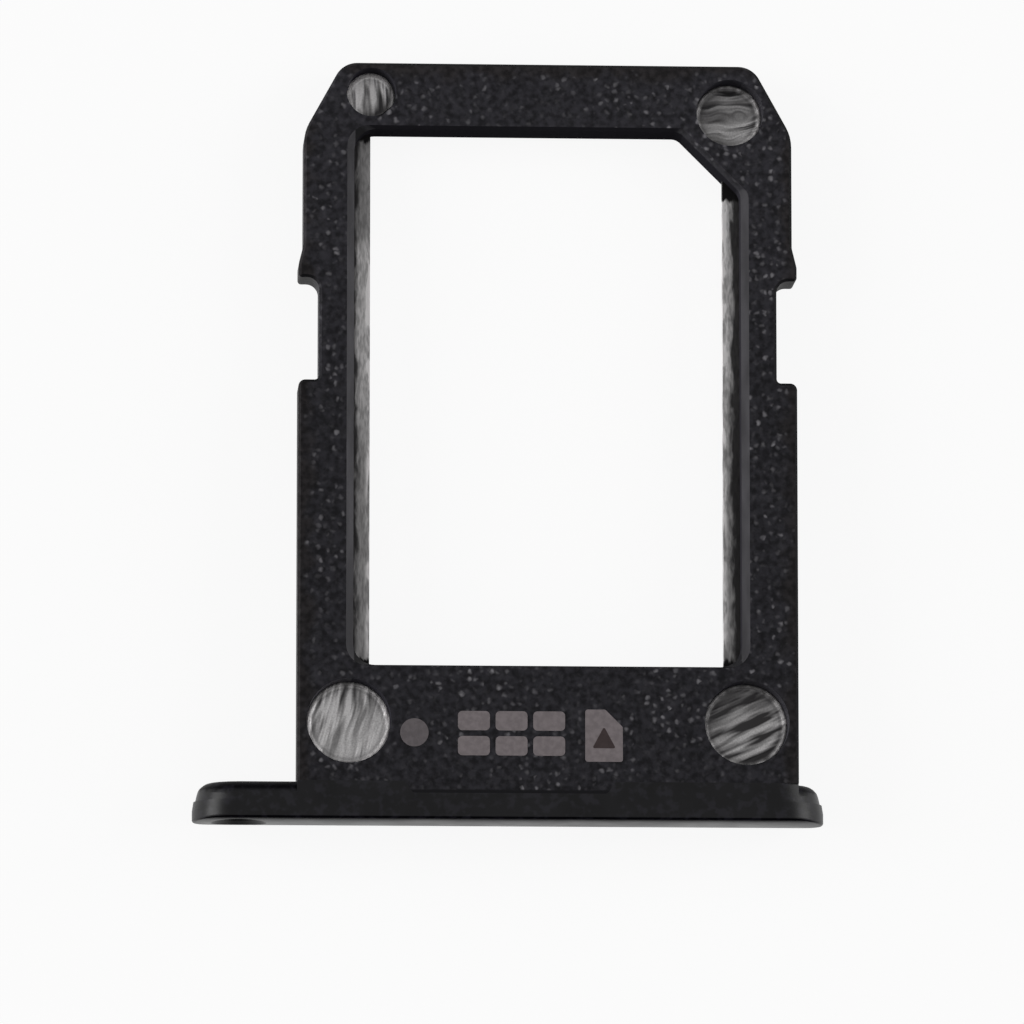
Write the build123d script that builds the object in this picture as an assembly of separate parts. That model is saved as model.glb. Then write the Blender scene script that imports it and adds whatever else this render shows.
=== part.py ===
"""Tray that carries one nano card into the side of a phone.

Three pieces, joined for good: a steel plate, a plastic frame moulded round it, and a metal head bar that
closes the slot in the phone's side. All sizes are in millimetres.

Frame of the model: +Z up, out of the card side. The head is at -Y and the nose, which enters first, at +Y.
The origin is under the middle of the part, at the height of the head bar's lowest face.
"""

import os
from math import sqrt

from build123d import *

# The card, and the room that the pocket leaves round it
card_width = 8.80
card_length = 12.30
card_thickness = 0.67
card_side_gap = 0.06
card_end_gap = 0.075
card_sink = 0.03  # the card's top lies this far below the frame's top

# Pocket in the frame
pocket_corner_cut = 1.42  # leg of the corner that keys the card
pocket_corner_radius = 0.75  # the card's own corners are rounded
pocket_cut_radius = 0.30  # at the ends of the cut corner
lead_in_depth = 0.20
lead_in_side = 0.17
lead_in_near = 0.04
lead_in_far = 0.055
lead_in_cut = 0.10  # across the cut corner

# Plastic frame round the pocket
rail_width = 1.277
near_bar = 2.68  # from the head to the pocket
far_bar = 1.52  # from the pocket to the end of the nose
skin_below = 0.20  # plastic under the steel
edge_break = 0.06

# Detent notches, one on each side, and the nub beyond each
notch_start = 9.25  # from the head
notch_length = 2.38
notch_depth = 0.47
notch_mouth_radius = 0.16  # near end, at the frame's side
notch_near_radius = 0.10  # near end, at the notch's floor
notch_far_radius = 0.28
nub_edge_radius = 0.08
nub_land = 0.32
nub_ramp = 0.45
nub_radius = 0.30

# Nose: slimmer than the frame, with its corners cut back
nose_relief = 0.11
nose_cut_across = 0.90
nose_cut_along = 1.63
nose_tip_radius = 0.55
nose_side_radius = 1.00

# Steel plate inside the frame
plate_thickness = 0.25
plate_cover = 0.30  # plastic round the plate's edge
ledge_width = 0.385  # bare steel inside the pocket's long walls
plate_end_cover = 0.20  # plastic over the plate's edge at the pocket's ends
plate_window_radius = 0.16
plate_tongue_width = 3.60
plate_tongue_depth = 0.41  # into the head
well_rim = 0.06  # plate beyond the edge of each well

# Wells down to the plate, left by the pins that hold it in the mould
near_well_radius = 0.97
near_well_wall = 0.212  # plastic between the well and the frame's side
near_well_from_head = 1.38
left_well_radius = 0.57
left_well_wall = 0.115  # plastic between the well and the end of the nose
left_well_from_side = 1.662
right_well_radius = 0.775
right_well_wall = 0.315
right_well_from_side = 1.532
lower_well_step = 0.15  # the wells underneath are this much smaller in radius

# Head bar
head_height = 1.914
head_depth = 0.83
head_crown = 0.06  # bulge of the front face
left_shoulder = 2.378  # head beyond the frame's left side
right_shoulder = 0.628
head_end_taper = 0.17  # each end of the rear face is this much shorter
head_flange = 0.40  # front part, from the front face's edge back to a step in each end
head_flange_taper = 0.03
head_step = 0.04  # height of that step
head_lip = 0.20  # straight stretch behind the front face
head_front_radius = 0.06
head_rear_radius = 0.32
key_width = 4.84  # plastic tongue let into the head's rear
key_depth = 0.27
key_slope = 0.20  # run-out at each end of the tongue
key_radius = 0.10
key_rise = 0.10  # the tongue's underside lies this far above the frame's

# Eject hole through the head
hole_radius = 0.535
hole_mouth_radius = 0.65
hole_from_end = 1.07

# Worked out from the above
pocket_width = card_width + 2 * card_side_gap
pocket_length = card_length + 2 * card_end_gap
pocket_depth = card_thickness + card_sink
frame_width = pocket_width + 2 * rail_width
frame_length = near_bar + pocket_length + far_bar
frame_thickness = pocket_depth + plate_thickness + skin_below
head_length = frame_width + left_shoulder + right_shoulder

top_z = head_height
ledge_z = top_z - pocket_depth
plate_bottom_z = ledge_z - plate_thickness
frame_bottom_z = top_z - frame_thickness
key_bottom_z = frame_bottom_z + key_rise
head_middle_z = head_height / 2

frame_x = (left_shoulder - right_shoulder) / 2  # middle of the frame
front_y = -(head_crown + head_depth + frame_length) / 2
head_edge_y = front_y + head_crown  # the front face's upper and lower edges
head_rear_y = head_edge_y + head_depth
nose_end_y = head_rear_y + frame_length
pocket_near_y = head_rear_y + near_bar
pocket_far_y = pocket_near_y + pocket_length
beyond = 1.0  # cutting tools run this far past what they cut


def frame_corners():
    """Corners of the frame seen from above, each with its radius: the right side, then the left."""
    half = frame_width / 2
    floor = half - notch_depth
    nose = half - nose_relief
    notch_near = head_rear_y + notch_start
    notch_far = notch_near + notch_length
    nub_end = notch_far + nub_land
    right_side = [
        (half, head_rear_y, 0),
        (half, notch_near, notch_mouth_radius),
        (floor, notch_near, notch_near_radius),
        (floor, notch_far, notch_far_radius),
        (half, notch_far, nub_edge_radius),
        (half, nub_end, nub_radius),
        (nose, nub_end + nub_ramp, nub_radius),
        (nose, nose_end_y - nose_cut_along, nose_side_radius),
        (nose - nose_cut_across, nose_end_y, nose_tip_radius),
    ]
    left_side = [(-x, y, radius) for x, y, radius in reversed(right_side)]
    return [(x + frame_x, y, radius) for x, y, radius in right_side + left_side]


def frame_outline():
    """The frame seen from above, from the head's rear face to the nose."""
    points = [(x, y) for x, y, radius in frame_corners()]
    radii = [radius for x, y, radius in frame_corners()]
    return make_face(FilletPolyline(*points, radius=radii, close=True))


def pocket_outline(side=0.0, near=0.0, far=0.0, cut=0.0, corner=pocket_corner_radius, turn=pocket_cut_radius):
    """The card's pocket seen from above, with each wall moved outwards by its own amount."""
    half = pocket_width / 2
    cut_sum = half + pocket_far_y - pocket_corner_cut + cut * sqrt(2)  # x + y along the cut corner
    left, right = -half - side, half + side
    low, high = pocket_near_y - near, pocket_far_y + far
    corners = [(left, low), (right, low), (right, cut_sum - right), (cut_sum - high, high), (left, high)]
    points = [(x + frame_x, y) for x, y in corners]
    radii = [corner, corner, turn, turn, corner]
    return make_face(FilletPolyline(*points, radius=radii, close=True))


def slab(outline, low_z, high_z):
    """An outline made solid between two heights."""
    return extrude(Pos(0, 0, low_z) * outline, high_z - low_z)


def wells():
    """Place and radius of each well: the two near the head, then the two in the nose."""
    half = frame_width / 2
    near_x = half - near_well_wall - near_well_radius
    near_y = head_rear_y + near_well_from_head
    left_y = nose_end_y - left_well_wall - left_well_radius
    right_y = nose_end_y - right_well_wall - right_well_radius
    return [
        (frame_x - near_x, near_y, near_well_radius),
        (frame_x + near_x, near_y, near_well_radius),
        (frame_x - half + left_well_from_side, left_y, left_well_radius),
        (frame_x + half - right_well_from_side, right_y, right_well_radius),
    ]


def well_discs(grow):
    """A disc on each well, larger than the well by the given amount."""
    return [Pos(x, y) * Circle(radius + grow) for x, y, radius in wells()]


def key_outline():
    """The plastic tongue that is let into the head's rear, seen from above."""
    inner = key_width / 2 - key_slope
    tip_y = head_rear_y - key_depth
    points = [(-key_width / 2, head_rear_y), (-inner, tip_y), (inner, tip_y), (key_width / 2, head_rear_y)]
    return make_face(FilletPolyline(*points, radius=[0, key_radius, key_radius, 0], close=True))


def steel_insert():
    """Punched plate: a ring round the pocket, a pad under each well, and a tongue into the head."""
    points = [(x, y) for x, y, radius in frame_corners()]
    ring = offset(make_face(Polyline(*points, close=True)), -plate_cover, kind=Kind.INTERSECTION)
    tongue_y = head_rear_y - plate_tongue_depth
    tongue_length = plate_tongue_depth + near_bar / 2
    tongue = Pos(0, tongue_y + tongue_length / 2) * Rectangle(plate_tongue_width, tongue_length)
    ends = [plate_end_cover] * 3
    window = pocket_outline(-ledge_width, *ends, plate_window_radius, plate_window_radius)
    outline = ring + tongue + well_discs(well_rim) - window
    return slab(outline, plate_bottom_z, ledge_z)


def break_edges(body):
    """Takes the sharpness off the frame's upper and lower edges, but not where it meets the head."""
    faces = [body.faces().sort_by(Axis.Z)[0], body.faces().sort_by(Axis.Z)[-1]]
    edges = [edge for face in faces for edge in face.outer_wire().edges()]
    free = [edge for edge in edges if edge.center().Y > head_rear_y + edge_break]
    return chamfer(free, edge_break)


def moulded_frame(insert):
    """Plastic frame: pocket with its lead-in slopes, wells above and below, and the room the plate fills."""
    body = break_edges(slab(frame_outline(), frame_bottom_z, top_z))
    body += slab(key_outline(), key_bottom_z, top_z)
    body -= slab(pocket_outline(), frame_bottom_z - beyond, top_z + beyond)
    mouth = pocket_outline(lead_in_side, lead_in_near, lead_in_far, lead_in_cut)
    throat_z = top_z - lead_in_depth
    body -= loft([Pos(0, 0, throat_z) * pocket_outline(), Pos(0, 0, top_z) * mouth], ruled=True)
    for upper, lower in zip(well_discs(0), well_discs(-lower_well_step)):
        body -= slab(upper, ledge_z, top_z + beyond)
        body -= slab(lower, frame_bottom_z - beyond, plate_bottom_z)
    return body - insert


def pill(length, y):
    """The head's rounded section, upright across Y, facing the nose."""
    upright = Plane((0, y, head_middle_z), x_dir=(1, 0, 0), z_dir=(0, -1, 0))
    return upright * SlotOverall(length, head_height)


def head_blank():
    """Bar with full-round ends that flare towards a stepped flange, before its face is crowned."""
    step_y = head_edge_y + head_flange
    lip_y = head_edge_y + head_lip
    flange_length = head_length - 2 * head_flange_taper
    waist_length = flange_length - 2 * head_step
    rear_length = head_length - 2 * head_end_taper
    body = loft([pill(rear_length, head_rear_y), pill(waist_length, step_y)], ruled=True)
    flange = loft([pill(flange_length, step_y), pill(head_length, lip_y)], ruled=True)
    return body + flange + extrude(pill(head_length, lip_y), head_lip + head_crown + beyond)


def crowned_side():
    """The head's side view made solid along X: flat rear, gently bulging front."""
    side = Plane((-head_length, 0, 0), x_dir=(0, 1, 0), z_dir=(1, 0, 0))
    edge, rear = head_edge_y, head_rear_y
    front = ThreePointArc((edge, 0), (front_y, head_middle_z), (edge, head_height))
    rest = Polyline((edge, head_height), (rear, head_height), (rear, 0), (edge, 0))
    return extrude(side * make_face([front, rest]), 2 * head_length)


def eject_hole():
    """Round hole along Y with a countersunk mouth in the front face."""
    x = hole_from_end - head_length / 2
    length = head_crown + head_depth + 2 * beyond
    along_y = Rot(X=90)
    bore = Pos(x, front_y + length / 2 - beyond, head_middle_z) * along_y * Cylinder(hole_radius, length)
    sink = hole_mouth_radius - hole_radius
    wide = hole_mouth_radius + beyond
    cone_length = sink + beyond
    mouth = Pos(x, front_y + sink - cone_length / 2, head_middle_z) * along_y
    return bore + mouth * Cone(hole_radius, wide, cone_length)


def head_bar(insert):
    """Metal bar: crowned face, eased edges, sockets for the plastic tongue and the plate, eject hole."""
    blank = head_blank() & crowned_side()
    front_edges = blank.faces().sort_by(Axis.Y)[0].outer_wire().edges()
    bar = fillet(front_edges, head_front_radius)
    rear_edges = bar.faces().sort_by(Axis.Y)[-1].outer_wire().edges()
    eased = fillet(rear_edges, head_rear_radius)
    seat = Pos(frame_x, head_rear_y, top_z) * Box(frame_width, head_depth, 2 * frame_thickness)
    bar = eased + (bar & seat)
    bar -= slab(key_outline(), key_bottom_z, top_z + beyond)
    return bar - insert - eject_hole()


def main():
    os.makedirs("parts", exist_ok=True)
    insert = steel_insert()
    pieces = {
        "steel_insert": insert,
        "moulded_frame": moulded_frame(insert),
        "head_bar": head_bar(insert),
    }
    for name, piece in pieces.items():
        export_step(piece, f"parts/{name}.step")


if __name__ == "__main__":
    main()
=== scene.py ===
"""Finishes, well floors, printed marks and studio of a tray for a phone's card, as a Blender add-on.

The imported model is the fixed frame: its plate and its head bar stay as they are and get their finishes here,
and its moulded frame is shown by a copy with tighter pocket corners. The scratched floors of the wells and
the printed marks are added. Lengths are in metres, and places inside a material are in millimetres.
"""

from collections import namedtuple
from math import atan2, cos, exp, pi, radians, sin, sqrt, tan

import bpy
from bpy.props import FloatProperty, FloatVectorProperty, PointerProperty
from mathutils import Matrix, Vector, noise


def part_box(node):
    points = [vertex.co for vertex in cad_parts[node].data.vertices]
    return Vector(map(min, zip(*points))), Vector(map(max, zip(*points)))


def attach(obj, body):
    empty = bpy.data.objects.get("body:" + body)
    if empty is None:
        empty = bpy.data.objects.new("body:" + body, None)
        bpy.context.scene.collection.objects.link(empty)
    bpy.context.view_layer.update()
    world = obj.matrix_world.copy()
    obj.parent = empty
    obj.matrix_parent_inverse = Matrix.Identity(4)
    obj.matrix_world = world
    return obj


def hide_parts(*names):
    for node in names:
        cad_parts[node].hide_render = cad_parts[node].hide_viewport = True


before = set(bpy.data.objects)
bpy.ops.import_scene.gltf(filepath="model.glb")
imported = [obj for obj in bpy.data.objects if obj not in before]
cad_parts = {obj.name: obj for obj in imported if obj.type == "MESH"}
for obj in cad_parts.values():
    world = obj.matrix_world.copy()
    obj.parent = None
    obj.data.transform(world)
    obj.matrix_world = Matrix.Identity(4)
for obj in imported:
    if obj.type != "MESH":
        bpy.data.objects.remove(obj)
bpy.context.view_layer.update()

bl_info = {
    "name": "Card tray finishes",
    "version": (1, 0, 0),
    "blender": (4, 5, 0),
    "location": "3D View > Sidebar > Card tray",
    "description": "Dresses the card tray's parts, prints its marks and lights it",
    "category": "Object",
}

MM = 0.001
BODY = "root"
TONE_AND_PAINTED_LIGHT = "tone_and_painted_light"  # names of the values that a well floor's mesh carries
BURR = "burr"
FLOOR_HALF = 1.5
LAMP_PLACE = Vector((0.26, 0.03, 0.14))  # the right lamp's, and the left one mirrors it
LAMP_SIZE = 0.16

# A well's shine and its way paint light towards one side of its floor; its rim sets how bright the burr is.
Well = namedtuple("Well", "name x y radius scratches swirl tone contrast busy_way shine_way shine rim curl")
Masks = namedtuple("Masks", "upright slope edge wall left_face well_wall")

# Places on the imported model: the outline from its boxes, and the pocket's sizes as in the solids
frame_low, frame_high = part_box("moulded_frame")
head_low, head_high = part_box("head_bar")
frame_x = (frame_low.x + frame_high.x) / 2
frame_half = (frame_high.x - frame_low.x) / 2
top_z = frame_high.z
plate_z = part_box("steel_insert")[1].z
head_rear_y = head_high.y
nose_y = frame_high.y
pocket_half = 4.46 * MM
ledge_half = pocket_half - 0.385 * MM
slope_half = pocket_half + 0.17 * MM
pocket_near_y = head_rear_y + 2.68 * MM
pocket_far_y = nose_y - 1.52 * MM
pocket_cut = 1.42 * MM
solid_corner = 0.75 * MM  # radius of the pocket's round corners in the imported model
slope_near = 0.04 * MM  # the slopes at the pocket's ends are narrower than those at its sides
slope_far = 0.055 * MM
slope_foot_z = top_z - 0.20 * MM
key_front_y = head_rear_y - 0.27 * MM


def colour(name, description, default):
    return FloatVectorProperty(
        name=name, description=description, default=default, size=3, min=0.0, max=1.0, subtype="COLOR"
    )


def length(name, description, millimetres):
    return FloatProperty(
        name=name, description=description, default=millimetres * MM, min=0.0, precision=6, unit="LENGTH"
    )


def share(name, description, default):
    return FloatProperty(
        name=name, description=description, default=default, min=0.0, max=1.0, subtype="FACTOR"
    )


def angle(name, description, degrees):
    return FloatProperty(name=name, description=description, default=radians(degrees), unit="ROTATION")


def power(name, description, watts):
    return FloatProperty(name=name, description=description, default=watts, min=0.0, unit="POWER")


class PlasticFinish(bpy.types.PropertyGroup):
    """Glass-filled plastic of the frame"""

    base: colour("Base", "Colour between the specks", (0.0168, 0.0162, 0.0194))
    rim: colour("Rim", "Colour beside the outer edge, where no glass shows", (0.0158, 0.0142, 0.0150))
    # The specks' colour is glass at the surface, lighter partly as painted glints.
    speck: colour("Specks", "Colour of the glass that shows at the surface", (0.30, 0.29, 0.31))
    # The lead-in colour is a painted sheen: the smooth slopes into the pocket look light because of how light
    # falls on them.
    slope: colour("Lead-in", "Colour of the smooth slopes into the pocket", (0.062, 0.060, 0.066))
    speck_spacing: length("Speck spacing", "From one speck to the next", 0.17)
    speck_radius: length("Speck radius", "Radius of a speck", 0.080)
    grain_size: length("Grain size", "Width of the moulded surface's grain", 0.15)
    grain_height: length("Grain height", "Depth of the moulded surface's grain", 0.003)
    roughness: share("Roughness", "Roughness of the moulded surface", 0.58)
    pocket_corner: length("Pocket corner", "Radius of the pocket's round corners", 0.50)


class SteelFinish(bpy.types.PropertyGroup):
    """Bare, scratched plate"""

    # The bright and dull colours are lit and shaded steel; the levels between them paint light and shade on
    # the ledges and the well floors.
    bright: colour("Bright", "Colour on the scratches' bright flanks", (0.95, 0.93, 0.93))
    dull: colour("Dull", "Colour in the scratches", (0.070, 0.067, 0.069))
    scratch_width: length("Scratch width", "Width of a broad scratch", 0.14)
    scratch_length: length("Scratch length", "Length of a broad scratch", 0.8)
    scratch_depth: length("Scratch depth", "Depth of a broad scratch", 0.008)
    burr_width: length("Burr width", "Width of the burr round each well's floor", 0.045)
    burr_height: length("Burr height", "Height of the burr round each well's floor", 0.028)
    roughness: share("Roughness", "Mean roughness of the ledges", 0.58)
    well_roughness: share("Well roughness", "Roughness of the well floors", 0.38)
    burr_roughness: share("Burr roughness", "Roughness of the burr round each well's floor", 0.80)


class HeadFinish(bpy.types.PropertyGroup):
    """Black anodised bar"""

    base: colour("Base", "Colour of the anodised skin", (0.0035, 0.0033, 0.0046))
    grain_size: length("Grain size", "Width of the blasted grain", 0.035)
    grain_height: length("Grain height", "Depth of the blasted grain", 0.0008)
    roughness: share("Roughness", "Roughness of the blasted skin", 0.40)


class PrintedMarks(bpy.types.PropertyGroup):
    """Marks printed on the frame beside the head"""

    ink: colour("Ink", "Colour of the printed marks", (0.178, 0.155, 0.160))
    faint: colour("Faint ink", "Colour of the round mark", (0.115, 0.102, 0.107))
    dark: colour("Dark ink", "Colour of the arrowhead in the card sign", (0.045, 0.032, 0.032))
    thickness: length("Thickness", "Thickness of the ink", 0.010)
    line_y: length("Distance from head", "From the head's rear face to the marks' middle line", 1.07)
    dot_radius: length("Dot radius", "Radius of the round mark", 0.325)
    card_width: length("Card width", "Width of the card sign", 0.86)
    card_height: length("Card height", "Height of the card sign", 1.20)
    card_cut: length("Card corner", "Leg of the card sign's cut corner", 0.40)
    pads_width: length("Pads width", "Width of the sign for the card's contacts", 2.45)
    pads_height: length("Pads height", "Height of the sign for the card's contacts", 1.02)


class Studio(bpy.types.PropertyGroup):
    """Floor, light and camera"""

    floor: colour("Floor", "Colour of the floor", (0.90, 0.90, 0.90))
    left_power: power("Left lamp", "Power of the left lamp", 0.37)
    right_power: power("Right lamp", "Power of the right lamp", 0.28)
    room_side: share("Room's sides", "Light level at the left and the right", 1.0)
    room_top: share("Room's top", "Light level overhead", 0.38)
    room_ends: share("Room's ends", "Light level in front and behind", 0.11)
    tilt_from_front: angle("Camera tilt", "Camera's lean from straight above towards the head", 8.183)
    tilt_from_left: angle("Camera side tilt", "Camera's lean from straight above towards the left", 3.120)
    distance: length("Camera distance", "From the camera to what it looks at", 199.27)
    target: FloatVectorProperty(
        name="Camera target",
        description="Point of the tray's top in the middle of the picture",
        default=(0.040 * MM, -1.675 * MM, top_z),
        size=3,
        subtype="TRANSLATION",
    )
    field: length("Field", "Width of the picture at the target", 23.457)


class Nodes:
    """Adds nodes to a tree. An input that is given a socket is linked, and any other is set."""

    def __init__(self, tree):
        self.tree = tree

    def feed(self, socket, value):
        if isinstance(value, bpy.types.NodeSocket):
            self.tree.links.new(value, socket)
        else:
            socket.default_value = value

    def add(self, kind, inputs, **settings):
        node = self.tree.nodes.new("ShaderNode" + kind)
        for name, value in settings.items():
            setattr(node, name, value)
        for name, value in inputs.items():
            self.feed(node.inputs[name], value)
        return node

    def math(self, operation, first, second=0.0):
        return self.add("Math", {0: first, 1: second}, operation=operation).outputs[0]

    def times(self, first, *others):
        for other in others:
            first = self.math("MULTIPLY", first, other)
        return first

    def plus(self, first, *others):
        for other in others:
            first = self.math("ADD", first, other)
        return first

    def split(self, vector):
        """The X, Y and Z of a vector."""
        return self.add("SeparateXYZ", {0: vector}).outputs

    def vector(self, operation, first, second):
        return self.add("VectorMath", {0: first, 1: second}, operation=operation).outputs["Vector"]

    def between(self, value, low, high, to_low=0.0, to_high=1.0):
        inputs = {"Value": value, "From Min": low, "From Max": high, "To Min": to_low, "To Max": to_high}
        return self.add("MapRange", inputs, interpolation_type="SMOOTHSTEP").outputs["Result"]

    def fade(self, mask, at_zero, at_one):
        """One value where a mask is zero, another where it is one, and a soft change between them."""
        return self.between(mask, 0.0, 1.0, at_zero, at_one)

    def spread(self, pattern, low, high):
        """The middle of a noise's range, spread from one value to another."""
        return self.between(pattern, 0.3, 0.7, low, high)

    def mix(self, factor, first, second):
        """A blend of two colours. The Mix node's sockets share their names, so they go by number."""
        node = self.add("Mix", {}, data_type="RGBA")
        for index, value in ((0, factor), (6, first), (7, second)):
            self.feed(node.inputs[index], value)
        return node.outputs[2]


class Finish(Nodes):
    """One material and its nodes."""

    def __init__(self, name):
        self.material = bpy.data.materials.new(name)
        self.material.use_nodes = True
        super().__init__(self.material.node_tree)
        self.surface = self.tree.nodes["Principled BSDF"]

    def set(self, **inputs):
        for name, value in inputs.items():
            self.feed(self.surface.inputs[name.replace("_", " ")], value)

    def place(self):
        """Where a point lies in the tray's own frame, in millimetres."""
        here = self.add("TexCoord", {}).outputs["Object"]
        return self.vector("MULTIPLY", here, (1 / MM, 1 / MM, 1 / MM))

    def moved(self, place, away):
        """The same place, shifted, so that one pattern does not follow another."""
        return self.vector("ADD", place, (away, 0.0, 0.0))

    def from_middle(self, place):
        """How far a place lies from the frame's middle line, in millimetres."""
        return self.math("ABSOLUTE", self.math("SUBTRACT", self.split(place)["X"], frame_x / MM))

    def normal(self):
        """The X, Y and Z of the way that the surface faces."""
        return self.split(self.add("NewGeometry", {}).outputs["Normal"])

    def scaled(self, rgb, factor):
        """A colour made lighter or darker from place to place."""
        return self.add("VectorMath", {0: tuple(rgb), "Scale": factor}, operation="SCALE").outputs["Vector"]

    def noise(self, place, scale, detail=2.0, distortion=0.0):
        inputs = {"Vector": place, "Scale": scale, "Detail": detail, "Distortion": distortion}
        return self.add("TexNoise", inputs, noise_dimensions="3D").outputs["Fac"]

    def bump(self, height, distance):
        inputs = {"Height": height, "Distance": distance, "Strength": 1.0}
        return self.add("Bump", inputs).outputs["Normal"]


def solid(rgb, level=1.0):
    """A colour for a shader's socket, made lighter or darker by a level."""
    return (*(level * part for part in rgb), 1.0)


def plastic_material(look):
    """Black plastic with glass in it: cloudy grain and soft specks with painted glints, painted sheen on the
    smooth slopes, painted shade on broken edges and along the key's front, and painted light on some walls.
    """
    # Painted shade darkens broken edges and a line along the key's front; painted light lightens walls in the
    # pocket and the wells.
    painted_edge_shade_level, painted_well_wall_light, painted_seam_shade_level = 0.3, 3.0, 0.45
    wall_level, painted_left_wall_light = 1.0, 2.5
    slope_roughness, gloss, speck_relief = 0.38, 0.1, 3.0
    seam_y, seam_width = key_front_y / MM, 0.05
    streak_scale = (2.0, 0.7, 2.0)  # drawn out along the tray
    finish = Finish("glass_filled_plastic")
    place = finish.place()
    normal = finish.normal()
    y = finish.split(place)["Y"]
    inland = from_rim(finish, place)
    grain = finish.noise(place, MM / look.grain_size, 3.0)
    masks = moulded_masks(finish, place, normal)
    # Cloudy tone, with painted light towards the left and the nose.
    shade = plastic_clouds_and_painted_light(finish, grain, masks.upright, normal["X"], y)
    ground = finish.mix(inland, finish.scaled(look.rim, shade), finish.scaled(look.base, shade))
    specks = finish.times(glass_specks_and_painted_glints(finish, place, look), inland)
    toned = finish.mix(specks, ground, solid(look.speck))
    # Painted shade: broken edges that face away from the left are darker.
    toned = finish.mix(masks.edge, toned, solid(look.base, painted_edge_shade_level))
    # Painted light: pocket walls that face the left are lighter; the other walls keep the plain base without
    # specks, which also darkens them as painted shade.
    wall = finish.scaled(look.base, finish.fade(masks.left_face, wall_level, painted_left_wall_light))
    toned = finish.mix(masks.wall, toned, wall)
    # Painted light: the wells' walls are lighter than the base.
    toned = finish.mix(masks.well_wall, toned, solid(look.base, painted_well_wall_light))
    # Painted shade: a dark line along the key's front, where the frame meets the head.
    painted_seam_shade = finish.between(y, seam_y + 2 * seam_width, seam_y + seam_width)
    toned = finish.mix(painted_seam_shade, toned, solid(look.base, painted_seam_shade_level))
    streaks = finish.noise(finish.vector("MULTIPLY", place, streak_scale), 1.0, 2.0)
    # Painted sheen: the smooth slopes at the pocket's sides get a light, streaked colour.
    painted_sheen = finish.scaled(look.slope, finish.spread(streaks, 0.70, 1.20))
    finish.set(
        Base_Color=finish.mix(masks.slope, toned, painted_sheen),
        Roughness=finish.fade(masks.slope, look.roughness, slope_roughness),
        Specular_IOR_Level=finish.fade(masks.wall, gloss, 0.0),
        Normal=finish.bump(finish.plus(grain, finish.times(specks, speck_relief)), look.grain_height),
    )
    return finish.material


def plastic_clouds_and_painted_light(finish, grain, upright, facing, y):
    """How light the plastic is: cloudy, more even on upright faces, and lighter on faces towards the left and
    towards the nose as painted light.
    """
    darkest = finish.fade(upright, 0.50, 0.80)
    lightest = finish.fade(upright, 1.50, 1.20)
    clouds = finish.between(grain, 0.28, 0.72, darkest, lightest)
    # Painted light: faces towards the left and places towards the nose are lighter.
    painted_left_light = finish.between(facing, -0.5, -0.9, 1.0, 1.6)
    painted_nose_light = finish.between(y, 1.0, 6.5, 1.0, 1.25)
    return finish.times(clouds, painted_left_light, painted_nose_light)


def glass_specks_and_painted_glints(finish, place, look):
    """Soft round specks, bent out of true, each with its own brightness, on faint curls of glass. The glass
    shows at the surface, and its glints are painted into the colour.
    """
    bend_reach, brightest, curl_level = 0.14, 0.62, 0.03
    crowding_rise = (0.012, 0.008, 0.0)  # specks crowd towards the right and the nose
    bend = finish.add("TexNoise", {"Vector": place, "Scale": 6.0, "Detail": 1.0}).outputs["Color"]
    bent = finish.vector("ADD", place, finish.vector("MULTIPLY", bend, (bend_reach, bend_reach, bend_reach)))
    spots = {"Vector": bent, "Scale": MM / look.speck_spacing, "Smoothness": 0.15}
    cells = finish.add("TexVoronoi", spots, feature="SMOOTH_F1")
    reach = look.speck_radius / look.speck_spacing
    dots = finish.between(cells.outputs["Distance"], reach, 0.1 * reach)
    brightness = finish.math("POWER", finish.split(cells.outputs["Color"])["X"], 2.0)
    rise = finish.add("VectorMath", {0: place, 1: crowding_rise}, operation="DOT_PRODUCT").outputs["Value"]
    crowding = finish.plus(finish.noise(finish.moved(place, 83.0), 0.45, 2.0), rise)
    density = finish.between(crowding, 0.36, 0.56, 0.25, 1.0)
    curls = finish.between(finish.noise(finish.moved(place, 31.0), 6.0, 1.5, 0.7), 0.50, 0.75)
    return finish.plus(finish.times(curls, curl_level), finish.times(dots, brightness, density, brightest))


def from_rim(finish, place):
    """Zero at the frame's outer edge and one further in."""
    rim_start, rim_end = 0.10, 0.45
    ragged = finish.spread(finish.noise(place, 1.6, 2.0), -0.15, 0.15)
    aside = finish.plus(finish.from_middle(place), ragged)
    ahead = finish.plus(finish.split(place)["Y"], ragged)
    from_side = finish.between(aside, frame_half / MM - rim_start, frame_half / MM - rim_end)
    from_nose = finish.between(ahead, nose_y / MM - rim_start, nose_y / MM - rim_end)
    return finish.times(from_side, from_nose)


def moulded_masks(finish, place, normal):
    """Where the slopes at the pocket's sides, the frame's broken edges and the upright walls are; these take
    painted sheen, painted shade and painted light.
    """
    wall_x, mouth_x = pocket_half / MM, slope_half / MM
    away = finish.from_middle(place)
    inner = finish.between(away, wall_x - 0.03, wall_x)
    outer = finish.between(away, mouth_x + 0.04, mouth_x + 0.01)
    at_side = finish.times(inner, outer)
    sloping = finish.times(finish.between(normal["Z"], 0.40, 0.55), finish.between(normal["Z"], 0.95, 0.80))
    sideways = finish.between(finish.math("ABSOLUTE", normal["X"]), 0.30, 0.60)
    elsewhere = finish.math("SUBTRACT", 1.0, at_side)
    unlit = finish.between(normal["X"], -0.6, -0.3)
    upright = finish.between(normal["Z"], 0.50, 0.25)
    in_pocket = finish.between(away, wall_x + 0.06, wall_x + 0.02)
    return Masks(
        upright=upright,
        slope=finish.times(sloping, at_side, sideways),
        edge=finish.times(sloping, elsewhere, unlit),
        wall=finish.times(upright, in_pocket),
        left_face=finish.between(normal["X"], -0.55, -0.95),
        well_wall=finish.times(upright, in_wells(finish, place)),
    )


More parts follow.
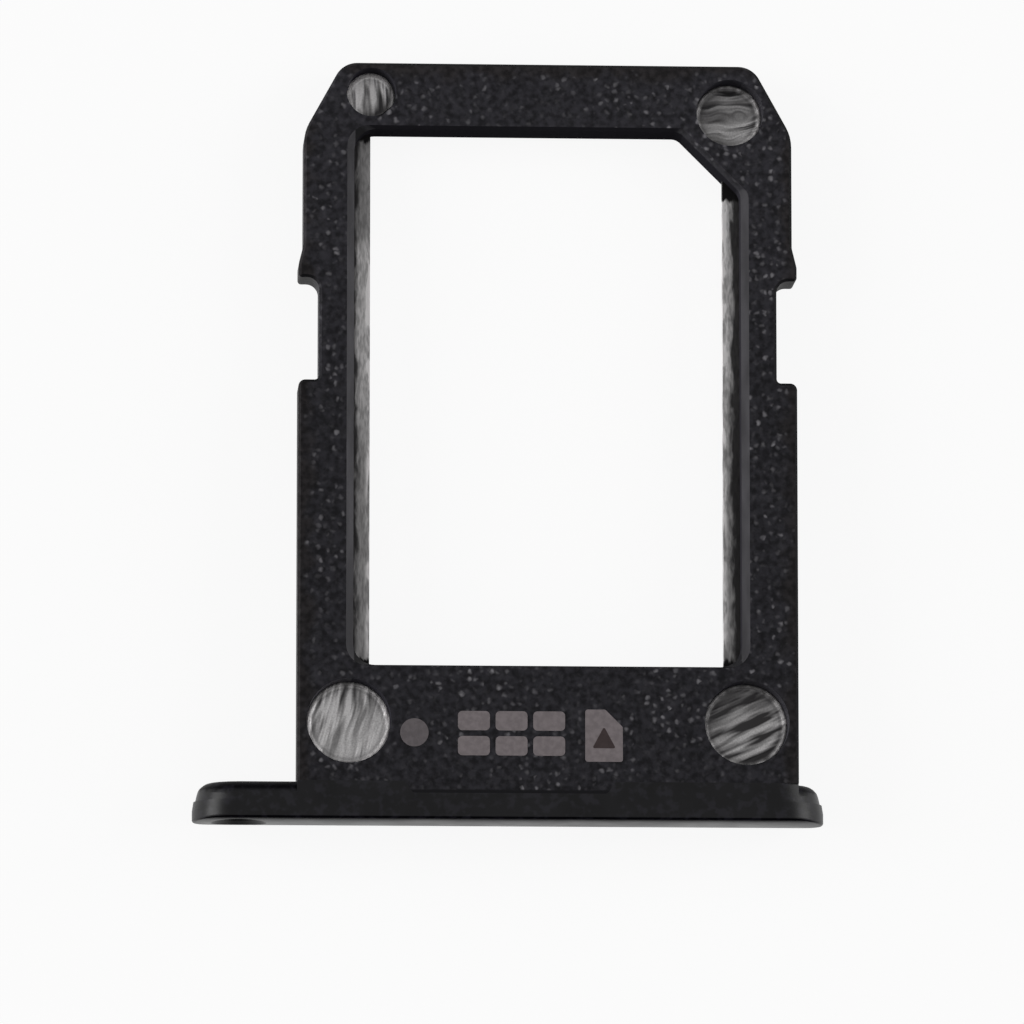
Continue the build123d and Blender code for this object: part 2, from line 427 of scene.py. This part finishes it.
def tighten_corners(mesh, radius):
    """Draws the pocket's round corners in to a smaller radius. A point keeps its bearing on its arc."""
    slack = 0.005 * MM
    for vertex in mesh.vertices:
        on_top = vertex.co.z > (slope_foot_z + top_z) / 2
        half = slope_half if on_top else pocket_half
        near = pocket_near_y - (slope_near if on_top else 0.0)
        far = pocket_far_y + (slope_far if on_top else 0.0)
        for x, y, inward in ((-half, near, (1, 1)), (half, near, (-1, 1)), (-half, far, (1, -1))):
            corner = Vector((frame_x + x, y))
            inward = Vector(inward)
            bearing = vertex.co.xy - corner - solid_corner * inward
            if max(bearing * inward) < slack and abs(bearing.length - solid_corner) < slack:
                vertex.co.xy = corner + radius * inward + bearing * (radius / solid_corner)
                break


def in_wells(finish, place):
    """One inside the wells and on their walls, and zero elsewhere."""
    flat = finish.vector("MULTIPLY", place, (1.0, 1.0, 0.0))
    inside = 0.0
    for well in wells():
        centre = (well.x / MM, well.y / MM, 0.0)
        away = finish.add("VectorMath", {0: flat, 1: centre}, operation="DISTANCE").outputs["Value"]
        radius = well.radius / MM
        inside = finish.math("MAXIMUM", inside, finish.between(away, radius + 0.05, radius + 0.02))
    return inside


def ledge_material(look):
    """Steel plate in the pocket: painted shade along the walls, reaching further at the right and deeper at
    the left ledge's far end, a painted highlight along its free edge, and darker ends.
    """
    # The first number is the darkest level, for painted shade along the walls and for the dark ends; the
    # second is a painted highlight along the free edge; the third widens the painted shade at the right.
    darkest_level, painted_edge_glare_level, wall_shade_wider_at_right = 0.3, 0.7, 0.10
    patch_scale = (6.0, 1.5, 6.0)  # both patterns are drawn out along the ledges
    fine_scale = (22.0, 5.0, 22.0)
    finish = Finish("bare_ledge_steel")
    place = finish.place()
    along = finish.split(place)["Y"]
    away = finish.from_middle(place)
    wall, edge = pocket_half / MM, ledge_half / MM
    patches = finish.noise(finish.vector("MULTIPLY", place, patch_scale), 1.0, 3.0, 0.3)
    fine = finish.noise(finish.vector("MULTIPLY", place, fine_scale), 1.0, 2.0)
    right = finish.between(finish.split(place)["X"], frame_x / MM - 0.1, frame_x / MM + 0.1)
    # Painted shade at the far end of the left ledge.
    shaded = finish.math("SUBTRACT", finish.between(along, 4.2, 5.2), right)
    # Painted shade along the walls, reaching further at the right, with a ragged edge.
    wall_shade_reach = finish.plus(away, finish.fade(right, 0.0, wall_shade_wider_at_right), finish.spread(patches, 0.06, -0.06))
    bare = finish.between(wall_shade_reach, wall - 0.02, wall - 0.16, 0.05, 0.55)
    bare = finish.times(bare, finish.fade(shaded, 1.0, 0.50), finish.spread(fine, 0.70, 1.25))
    # Painted highlight along the free edge, in patches, faint where painted shade lies at the left ledge's far
    # end.
    fringe = finish.between(away, edge + 0.14, edge + 0.03)
    painted_edge_glare = finish.times(fringe, finish.between(patches, 0.40, 0.58), finish.fade(shaded, 1.0, 0.1))
    level = finish.plus(bare, finish.times(painted_edge_glare, painted_edge_glare_level))
    # Painted light: darker towards the head and lighter further along.
    level = finish.times(level, finish.between(along, -1.0, 2.0, 0.70, 1.15))
    # Darker at the ledges' ends.
    level = finish.times(level, between_dark_ends(finish, along, right, patches))
    finish.set(
        Base_Color=finish.mix(level, solid(look.dull, darkest_level), solid(look.bright)),
        Metallic=1.0,
        Roughness=finish.spread(fine, look.roughness - 0.08, look.roughness + 0.12),
        Normal=finish.bump(finish.plus(fine, patches), 0.4 * look.scratch_depth),
    )
    return finish.material


def between_dark_ends(finish, along, right, patches):
    """One along the ledges, and zero at their ends, with a ragged edge."""
    left_end, right_end = pocket_far_y / MM - 0.22, (pocket_far_y - pocket_cut) / MM - 0.05
    near_end = pocket_near_y / MM + 0.14
    ragged = finish.plus(along, finish.spread(patches, -0.08, 0.08))
    beyond = finish.math("SUBTRACT", ragged, finish.fade(right, left_end, right_end))
    open_far = finish.between(beyond, 0.03, -0.06)
    open_near = finish.between(ragged, near_end, near_end + 0.10)
    return finish.times(open_far, open_near)


def well_material(look):
    """Scratched steel: its tone, with painted light in it, comes with the mesh, and finer scratches lie on
    top.
    """
    finish = Finish("scratched_steel")
    tone_and_painted_light = finish.add("Attribute", {}, attribute_name=TONE_AND_PAINTED_LIGHT).outputs["Fac"]
    burr = finish.add("Attribute", {}, attribute_name=BURR).outputs["Fac"]
    fine = finish.noise(finish.place(), 26.0, 3.0)
    level = finish.times(tone_and_painted_light, finish.spread(fine, 0.85, 1.15))
    finish.set(
        Base_Color=finish.mix(level, solid(look.dull), solid(look.bright)),
        Metallic=1.0,
        Roughness=finish.between(burr, 0.0, 0.6, look.well_roughness, look.burr_roughness),
        Normal=finish.bump(fine, 0.1 * look.scratch_depth),
    )
    return finish.material


def wells():
    """Each well: its place, its radius, how its scratches run and curl, where it is busy, and towards which
    side light is painted on its floor.
    """
    near_radius, near_wall, near_from_head = 0.97 * MM, 0.212 * MM, 1.38 * MM
    near_x = frame_half - near_wall - near_radius
    near_y = head_rear_y + near_from_head
    left_radius, left_wall, left_from_side = 0.57 * MM, 0.115 * MM, 1.662 * MM
    left_x = frame_low.x + left_from_side
    left_y = nose_y - left_wall - left_radius
    right_radius, right_wall, right_from_side = 0.775 * MM, 0.315 * MM, 1.532 * MM
    right_x = frame_high.x - right_from_side
    right_y = nose_y - right_wall - right_radius
    up_left, down_right, right, up = radians(135), radians(-45), radians(-10), radians(125)
    return [
        Well(
            "near_left", frame_x - near_x, near_y, near_radius,
            scratches=radians(76), swirl=0.04, tone=0.70, contrast=1.4,
            busy_way=up_left, shine_way=down_right, shine=0.15, rim=1.2, curl=0.0,
        ),
        Well(
            "near_right", frame_x + near_x, near_y, near_radius,
            scratches=radians(24), swirl=0.03, tone=0.25, contrast=1.4,
            busy_way=down_right, shine_way=down_right, shine=0.12, rim=0.9, curl=0.0,
        ),
        Well(
            "far_left", left_x, left_y, left_radius,
            scratches=radians(92), swirl=0.02, tone=0.70, contrast=2.2,
            busy_way=up, shine_way=up, shine=0.95, rim=0.9, curl=0.0,
        ),
        Well(
            "far_right", right_x, right_y, right_radius,
            scratches=radians(5), swirl=0.16, tone=0.33, contrast=1.0,
            busy_way=right, shine_way=down_right, shine=0.35, rim=1.1, curl=0.4,
        ),
    ]


def scratches_at(well, x, y, look, seed):
    """Relief at a point of a well's floor, from -1 in a scratch to 1 beside it."""
    broad_depth, fine_depth = 1.7, 0.9
    wander_size = 0.6 * MM
    curl_from_middle = 0.35 * well.radius
    wander = Vector((x, y, seed * MM)) / wander_size
    x += well.swirl * MM * noise.noise(wander)
    y += well.swirl * MM * noise.noise(wander + Vector((7.3, 0.0, 0.0)))
    along = x * cos(well.scratches) + y * sin(well.scratches)
    across = y * cos(well.scratches) - x * sin(well.scratches)
    if well.curl > 0.0:
        from_curl = sqrt((along - curl_from_middle) ** 2 + across**2)
        round_it = exp(-((from_curl / (well.curl * well.radius)) ** 2))
        along = along * (1.0 - round_it)
        across = across + (from_curl - across) * round_it
    along /= look.scratch_length
    across /= look.scratch_width
    broad = noise.noise((along, across, seed))
    fine = noise.noise((2.0 * along, 2.6 * across, seed + 9.0))
    return max(-1.0, min(1.0, broad_depth * broad + fine_depth * fine))


def scratched_floor(well, look, seed, material):
    """The floor of one well: a thin closed disc with its scratches, and the pin's burr round its edge."""
    rings, sectors = 64, 320
    spots = [(0.0, 0.0)]
    for ring in range(1, rings + 1):
        spots += [(well.radius * ring / rings, 2 * pi * sector / sectors) for sector in range(sectors)]
    points = []
    tone_and_painted_light = []
    burrs = []
    for reach, turn in spots:
        x, y = reach * cos(turn), reach * sin(turn)
        height, shine, burr = floor_at(well, look, seed, reach, turn)
        points.append((well.x + x, well.y + y, plate_z + height))
        tone_and_painted_light.append(shine)
        burrs.append(burr)
    last = len(points) - sectors
    # The underside is one face; above it, a fan at the middle is followed by rings of four-sided faces
    faces = [tuple(range(len(points) - 1, last - 1, -1))]
    for sector in range(sectors):
        after = (sector + 1) % sectors
        faces.append((0, 1 + sector, 1 + after))
        for low in range(1, last, sectors):
            high = low + sectors
            faces.append((low + sector, high + sector, high + after, low + after))
    mesh = bpy.data.meshes.new("well_floor_" + well.name)
    mesh.from_pydata(points, [], faces)
    mesh.attributes.new(TONE_AND_PAINTED_LIGHT, "FLOAT", "POINT").data.foreach_set("value", tone_and_painted_light)
    mesh.attributes.new(BURR, "FLOAT", "POINT").data.foreach_set("value", burrs)
    mesh.materials.append(material)
    add_piece(mesh)


def floor_at(well, look, seed, reach, turn):
    """Height above the plate, tone with painted light, and share of burr at a point of a well's floor."""
    beads_per_mm, bead_mean, bead_swing = 8.0, 0.80, 0.65
    burr_at, dark_ring_at = 1.2, 3.4  # from the wall, in widths of the burr
    clearance, dark_ring_depth = 0.002 * MM, 0.35
    x, y = cos(turn), sin(turn)
    scratch = scratches_at(well, reach * x, reach * y, look, seed)
    bead_step = beads_per_mm * well.radius / MM
    bead = bead_mean + bead_swing * noise.noise((bead_step * x, bead_step * y, seed))
    from_wall = (well.radius - reach) / look.burr_width
    burr = exp(-((from_wall - burr_at) ** 2))
    # A darker ring lies just inside the burr.
    dark_ring = exp(-((from_wall - dark_ring_at) ** 2))
    height = look.scratch_depth * (1.0 + scratch) + clearance + look.burr_height * burr * bead
    if reach == well.radius:
        height = 0.0  # the disc's edge lies on the plate
    outward = reach / well.radius
    # Painted light: brighter towards one side, lighter beside the scratches and darker in them, as light on
    # their flanks would be.
    facing = cos(turn - well.shine_way) * outward
    contrast = well.contrast * (0.6 + 0.5 * cos(turn - well.busy_way) * outward)
    shine = (well.tone + well.shine * facing + 0.5 * contrast * scratch) * (1.0 - dark_ring_depth * dark_ring)
    # The burr is bright steel, and brighter towards the side of the painted light as a painted highlight.
    rim = well.rim * burr * bead * (0.85 + 0.25 * facing)
    return height, max(0.0, min(1.0, max(shine, rim))), burr


def add_piece(mesh):
    """Puts a new piece on the tray."""
    piece = bpy.data.objects.new(mesh.name, mesh)
    bpy.context.scene.collection.objects.link(piece)
    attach(piece, BODY)
    return piece


def head_material(look):
    """Anodised bar: fine blasted grain in a satin black skin, dull at its face's upper edge and its rear."""
    gloss = 0.36
    finish = Finish("satin_black_anodised")
    place = finish.place()
    facing = finish.normal()["Y"]
    clouds = finish.noise(place, 1.1, 3.0)
    grain = finish.noise(place, MM / look.grain_size, 2.0)
    mottle = finish.between(finish.noise(finish.moved(place, 17.0), 5.0, 2.0), 0.47, 0.66, -0.2, 1.8)
    tone = finish.plus(finish.spread(clouds, 0.80, 1.15), mottle)
    face = finish.between(facing, -0.3, -0.7)
    brow = finish.times(face, finish.between(finish.split(place)["Z"], 1.0, 1.85))
    rear = finish.between(facing, 0.15, 0.55, 0.0, 0.8)
    finish.set(
        Base_Color=finish.scaled(look.base, tone),
        Roughness=finish.spread(clouds, look.roughness - 0.04, look.roughness + 0.04),
        Specular_IOR_Level=finish.fade(finish.math("MAXIMUM", brow, rear), gloss, 0.0),
        Normal=finish.bump(grain, look.grain_height),
    )
    return finish.material


def ink_material(name, rgb):
    """Printed ink, thin enough for the frame's grain to show a little."""
    finish = Finish(name)
    grain = finish.noise(finish.place(), 9.0, 2.0)
    finish.set(
        Base_Color=finish.scaled(rgb, finish.spread(grain, 0.88, 1.10)),
        Roughness=finish.spread(grain, 0.5, 0.65),
        Specular_IOR_Level=0.2,
        Normal=finish.bump(grain, 0.002 * MM),
    )
    return finish.material


def dress(node, material):
    """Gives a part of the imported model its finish."""
    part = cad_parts[node]
    part.data.materials.clear()
    part.data.materials.append(material)


def rounded(corners, radius, steps=6):
    """A closed outline with each corner rounded. The corners may run either way round."""
    outline = []
    count = len(corners)
    for index, corner in enumerate(corners):
        here = Vector(corner)
        before = (Vector(corners[index - 1]) - here).normalized()
        after = (Vector(corners[(index + 1) % count]) - here).normalized()
        half = before.angle(after) / 2
        leg = radius / tan(half)
        middle = here + (before + after).normalized() * radius / sin(half)
        start = here + before * leg - middle
        end = here + after * leg - middle
        sweep = start.angle_signed(end)
        for step in range(steps + 1):
            outline.append(middle + Matrix.Rotation(-sweep * step / steps, 2) @ start)
    return outline


def circle(centre, radius, steps=56):
    """A round outline."""
    turns = [2 * pi * step / steps for step in range(steps)]
    return [Vector(centre) + radius * Vector((cos(turn), sin(turn))) for turn in turns]


def print_mark(name, outlines, look, material):
    """A thin layer of ink on the frame's top, with eased edges. An outline inside another is left open."""
    curve = bpy.data.curves.new(name, "CURVE")
    curve.dimensions = "2D"
    curve.fill_mode = "BOTH"
    edge = look.thickness / 4
    curve.extrude = look.thickness / 2 - edge
    curve.bevel_depth = edge
    curve.bevel_resolution = 2
    curve.offset = -edge
    for outline in outlines:
        spline = curve.splines.new("POLY")
        spline.points.add(len(outline) - 1)
        for point, (x, y) in zip(spline.points, outline):
            point.co = (x, y, 0.0, 1.0)
        spline.use_cyclic_u = True
    drawn = bpy.data.objects.new(name + "_drawing", curve)
    mesh = bpy.data.meshes.new_from_object(drawn)
    bpy.data.objects.remove(drawn)
    bpy.data.curves.remove(curve)
    mesh.name = name
    mesh.transform(Matrix.Translation((0.0, 0.0, top_z + look.thickness / 2)))
    mesh.materials.clear()
    mesh.materials.append(material)
    add_piece(mesh)


def box_corners(low, high):
    return [(low[0], low[1]), (high[0], low[1]), (high[0], high[1]), (low[0], high[1])]


class TRAY_OT_dress_frame(bpy.types.Operator):
    """Shows the moulded frame by a copy with tighter pocket corners, in glass-filled plastic"""

    bl_idname = "tray.dress_frame"
    bl_label = "Moulded frame"

    def execute(self, context):
        look = context.scene.tray_plastic
        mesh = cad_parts["moulded_frame"].data.copy()
        mesh.name = "frame_moulding"
        tighten_corners(mesh, look.pocket_corner)
        mesh.materials.clear()
        mesh.materials.append(plastic_material(look))
        moulding = add_piece(mesh)
        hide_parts("moulded_frame")
        return {"FINISHED"}


class TRAY_OT_dress_insert(bpy.types.Operator):
    """Gives the plate its bare, scratched steel"""

    bl_idname = "tray.dress_insert"
    bl_label = "Steel insert"

    def execute(self, context):
        dress("steel_insert", ledge_material(context.scene.tray_steel))
        return {"FINISHED"}


class TRAY_OT_scratch_wells(bpy.types.Operator):
    """Lays the scratched floor of each well on the plate"""

    bl_idname = "tray.scratch_wells"
    bl_label = "Well floors"

    def execute(self, context):
        first_seed, seed_step = 3.7, 11.0
        look = context.scene.tray_steel
        material = well_material(look)
        for index, well in enumerate(wells()):
            scratched_floor(well, look, first_seed + seed_step * index, material)
        return {"FINISHED"}


class TRAY_OT_dress_head(bpy.types.Operator):
    """Gives the head bar its satin black skin"""

    bl_idname = "tray.dress_head"
    bl_label = "Head bar"

    def execute(self, context):
        dress("head_bar", head_material(context.scene.tray_head))
        return {"FINISHED"}


class TRAY_OT_print_marks(bpy.types.Operator):
    """Prints the dot, the contact pads and the card sign on the frame"""

    bl_idname = "tray.print_marks"
    bl_label = "Printed marks"

    def execute(self, context):
        look = context.scene.tray_marks
        ink = ink_material("printed_ink", look.ink)
        faint = ink_material("faint_ink", look.faint)
        line_y = head_rear_y + look.line_y
        dot = Vector((-2.19 * MM, line_y + 0.04 * MM))
        pads = Vector((0.03 * MM, line_y + 0.03 * MM))
        card = Vector((2.145 * MM, line_y - 0.01 * MM))
        print_mark("printed_dot", [circle(dot, look.dot_radius)], look, faint)
        self.print_pads(look, pads, ink)
        self.print_card(look, card, ink)
        return {"FINISHED"}

    def print_pads(self, look, middle, ink):
        """Two rows of three pads, as on a card's chip."""
        gap, corner = 0.13 * MM, 0.10 * MM
        pad = Vector(((look.pads_width - 2 * gap) / 3, (look.pads_height - gap) / 2))
        outlines = []
        for column in (-1, 0, 1):
            for row in (-0.5, 0.5):
                centre = middle + Vector((column * (pad.x + gap), row * (pad.y + gap)))
                outlines.append(rounded(box_corners(centre - pad / 2, centre + pad / 2), corner))
        print_mark("printed_pads", outlines, look, ink)

    def print_card(self, look, middle, ink):
        """A card with one corner cut, and a dark arrowhead in it."""
        card_corner, arrow_corner = 0.06 * MM, 0.03 * MM
        half = Vector((look.card_width / 2, look.card_height / 2))
        low, high = middle - half, middle + half
        corners = [
            (low.x, low.y), (high.x, low.y), (high.x, high.y - look.card_cut),
            (high.x - look.card_cut, high.y), (low.x, high.y),
        ]
        arrow_half, arrow_low, arrow_tip = 0.27 * MM, low.y + 0.31 * MM, low.y + 0.81 * MM
        left, right = middle.x - arrow_half, middle.x + arrow_half
        arrow = rounded([(left, arrow_low), (middle.x, arrow_tip), (right, arrow_low)], arrow_corner)
        print_mark("printed_card", [rounded(corners, card_corner), arrow], look, ink)
        print_mark("printed_arrow", [arrow], look, ink_material("dark_ink", look.dark))


class TRAY_OT_set_stage(bpy.types.Operator):
    """Lays the floor under the tray and sets the light and the camera"""

    bl_idname = "tray.set_stage"
    bl_label = "Studio"

    def execute(self, context):
        look = context.scene.tray_studio
        self.lay_floor(look)
        self.light_room(context.scene, look)
        self.hang_lamp("left_lamp", LAMP_PLACE * Vector((-1, 1, 1)), look.left_power)
        self.hang_lamp("right_lamp", LAMP_PLACE, look.right_power)
        self.place_camera(context.scene, look)
        context.scene.view_settings.view_transform = "Standard"
        return {"FINISHED"}

    def lay_floor(self, look):
        """The tray rests on the head's lower edge and the nose, so the floor rises towards the nose."""
        rise = atan2(frame_low.z - head_low.z, nose_y - head_rear_y)
        corners = box_corners((-FLOOR_HALF, -FLOOR_HALF), (FLOOR_HALF, FLOOR_HALF))
        mesh = bpy.data.meshes.new("floor")
        mesh.from_pydata([(x, y, 0.0) for x, y in corners], [], [(0, 1, 2, 3)])
        floor = bpy.data.objects.new("floor", mesh)
        floor.location = (0.0, head_rear_y, head_low.z)
        floor.rotation_euler.x = rise
        bpy.context.scene.collection.objects.link(floor)
        floor.data.materials.append(self.floor_material(look))

    def floor_material(self, look):
        """Matt white that reads as white to the eye and in reflections, yet keeps the shadow."""
        whiteness = 0.90
        finish = Finish("white_floor")
        finish.set(Base_Color=solid(look.floor), Roughness=0.9, Specular_IOR_Level=0.0)
        path = finish.add("LightPath", {})
        seen = finish.math("MAXIMUM", path.outputs["Is Camera Ray"], path.outputs["Is Glossy Ray"])
        seen = finish.math("MAXIMUM", seen, path.outputs["Is Transmission Ray"])
        white = finish.add("Emission", {"Color": solid((1.0, 1.0, 1.0)), "Strength": 1.0}).outputs[0]
        mixed = finish.add("MixShader", {0: finish.times(seen, whiteness)})
        finish.feed(mixed.inputs[1], finish.surface.outputs[0])
        finish.feed(mixed.inputs[2], white)
        output = finish.tree.nodes["Material Output"]
        finish.feed(output.inputs["Surface"], mixed.outputs[0])
        return finish.material

    def light_room(self, scene, look):
        """Bright cloth at the left and the right, grey overhead, and dark in front and behind."""
        scene.world = bpy.data.worlds.new("room")
        scene.world.use_nodes = True
        room = Nodes(scene.world.node_tree)
        way = room.split(room.add("TexCoord", {}).outputs["Generated"])
        ends_to_top = room.between(way["Z"], 0.0, 0.9, look.room_ends, look.room_top)
        sideways = room.between(room.math("ABSOLUTE", way["X"]), 0.50, 0.95)
        sideways = room.times(sideways, room.between(way["Y"], 0.55, 0.15))
        blend = {0: sideways, 2: ends_to_top, 3: look.room_side}  # by number, as in Nodes.mix
        level = room.add("Mix", blend).outputs[0]
        room.feed(room.tree.nodes["Background"].inputs["Color"], level)

    def hang_lamp(self, name, place, watts):
        """A soft square lamp that faces the tray."""
        light = bpy.data.lights.new(name, "AREA")
        light.size = LAMP_SIZE
        light.energy = watts
        lamp = bpy.data.objects.new(name, light)
        lamp.location = place
        lamp.rotation_euler = (-place).to_track_quat("-Z", "Y").to_euler()
        bpy.context.scene.collection.objects.link(lamp)

    def place_camera(self, scene, look):
        """Camera above the tray, leaning towards the head and the left, with the tray's length upright."""
        x, y = -sin(look.tilt_from_left), -sin(look.tilt_from_front)
        back = Vector((x, y, sqrt(1 - x * x - y * y)))
        right = Vector((0.0, 1.0, 0.0)).cross(back).normalized()
        up = back.cross(right)
        data = bpy.data.cameras.new("camera")
        data.sensor_width = 36.0
        data.lens = data.sensor_width * look.distance / look.field
        data.clip_start = 0.01
        camera = bpy.data.objects.new("camera", data)
        turn = Matrix((right, up, back)).transposed().to_4x4()
        camera.matrix_world = Matrix.Translation(Vector(look.target) + back * look.distance) @ turn
        scene.collection.objects.link(camera)
        scene.camera = camera


class TRAY_PT_panel(bpy.types.Panel):
    """Lists the tray's pieces and their settings"""

    bl_idname = "TRAY_PT_panel"
    bl_label = "Card tray"
    bl_space_type = "VIEW_3D"
    bl_region_type = "UI"
    bl_category = "Card tray"

    def draw(self, context):
        for group, (kind, operators) in STEPS.items():
            box = self.layout.box()
            for name in kind.__annotations__:
                box.prop(getattr(context.scene, group), name)
            for operator in operators:
                box.operator(operator.bl_idname)


# Each group of settings, with its class and the operators that use it
STEPS = {
    "tray_plastic": (PlasticFinish, [TRAY_OT_dress_frame]),
    "tray_steel": (SteelFinish, [TRAY_OT_dress_insert, TRAY_OT_scratch_wells]),
    "tray_head": (HeadFinish, [TRAY_OT_dress_head]),
    "tray_marks": (PrintedMarks, [TRAY_OT_print_marks]),
    "tray_studio": (Studio, [TRAY_OT_set_stage]),
}


def register():
    for group, (kind, operators) in STEPS.items():
        bpy.utils.register_class(kind)
        setattr(bpy.types.Scene, group, PointerProperty(type=kind))
        for operator in operators:
            bpy.utils.register_class(operator)
    bpy.utils.register_class(TRAY_PT_panel)


def unregister():
    bpy.utils.unregister_class(TRAY_PT_panel)
    for group, (kind, operators) in STEPS.items():
        for operator in operators:
            bpy.utils.unregister_class(operator)
        delattr(bpy.types.Scene, group)
        bpy.utils.unregister_class(kind)


def main():
    register()
    bpy.ops.tray.dress_frame()
    bpy.ops.tray.dress_insert()
    bpy.ops.tray.scratch_wells()
    bpy.ops.tray.dress_head()
    bpy.ops.tray.print_marks()
    bpy.ops.tray.set_stage()


if __name__ == "__main__":
    main()
